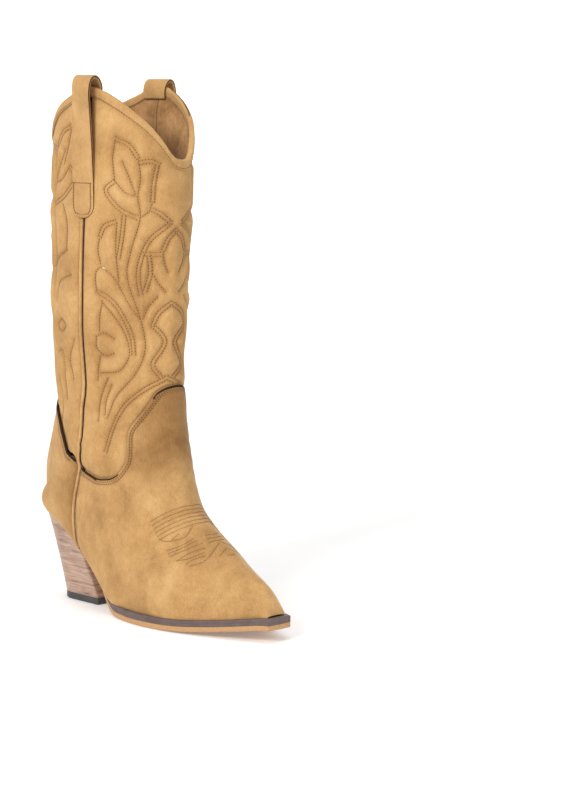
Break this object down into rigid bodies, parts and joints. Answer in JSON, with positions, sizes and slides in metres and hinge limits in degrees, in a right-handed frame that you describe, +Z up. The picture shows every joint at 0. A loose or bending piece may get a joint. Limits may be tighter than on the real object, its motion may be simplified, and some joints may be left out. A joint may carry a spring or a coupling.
{
  "type": "cowboy boot",
  "caption": "Western boot in tan suede for the right foot: quilted scallop-topped shaft with pull straps, snip toe and a slanted stacked-wood heel on a curved sole",
  "frame": {"origin": "centre of the boot's footprint box, on the floor it stands on", "axes": "+X towards the inner side of the foot, -Y towards the toe, +Z up along the shaft"},
  "size_m": [0.1027, 0.2663, 0.4202],
  "materials": {
    "suede": "matte napped suede",
    "piping": "matte",
    "microfibre": "matte, fuzzy",
    "foam": "matte",
    "board": "matte fibreboard",
    "stiffener": "matte",
    "filler": "matte cork mix",
    "welt": "satin",
    "outsole": "satin",
    "stacked_wood": "satin varnish",
    "heel_block": "matte",
    "top_lift": "satin",
    "steel": "brushed"
  },
  "bodies": {
    "root": {"shaft_front_panel": "suede", "shaft_back_panel": "suede", "shaft_front_foam": "foam", "shaft_back_foam": "foam", "shaft_front_lining": "microfibre", "shaft_back_lining": "microfibre", "vamp": "suede", "vamp_backer": "foam", "vamp_lining": "microfibre", "toe_puff": "stiffener", "heel_counter": "suede", "counter_stiffener": "stiffener", "counter_lining": "microfibre", "top_binding": "suede", "side_piping_lateral": "piping", "side_piping_medial": "piping", "pull_strap_lateral": "suede", "pull_strap_medial": "suede", "insole_board": "board", "heel_pad": "foam", "sock_lining": "microfibre", "shank": "steel", "bottom_filler": "filler", "welt": "welt", "outsole": "outsole", "heel_core": "heel_block", "heel_wrap": "stacked_wood", "heel_top_lift": "top_lift", "heel_nails": "steel", "heel_screw": "steel", "top_lift_pins": "steel"}
  },
  "joints": []
}
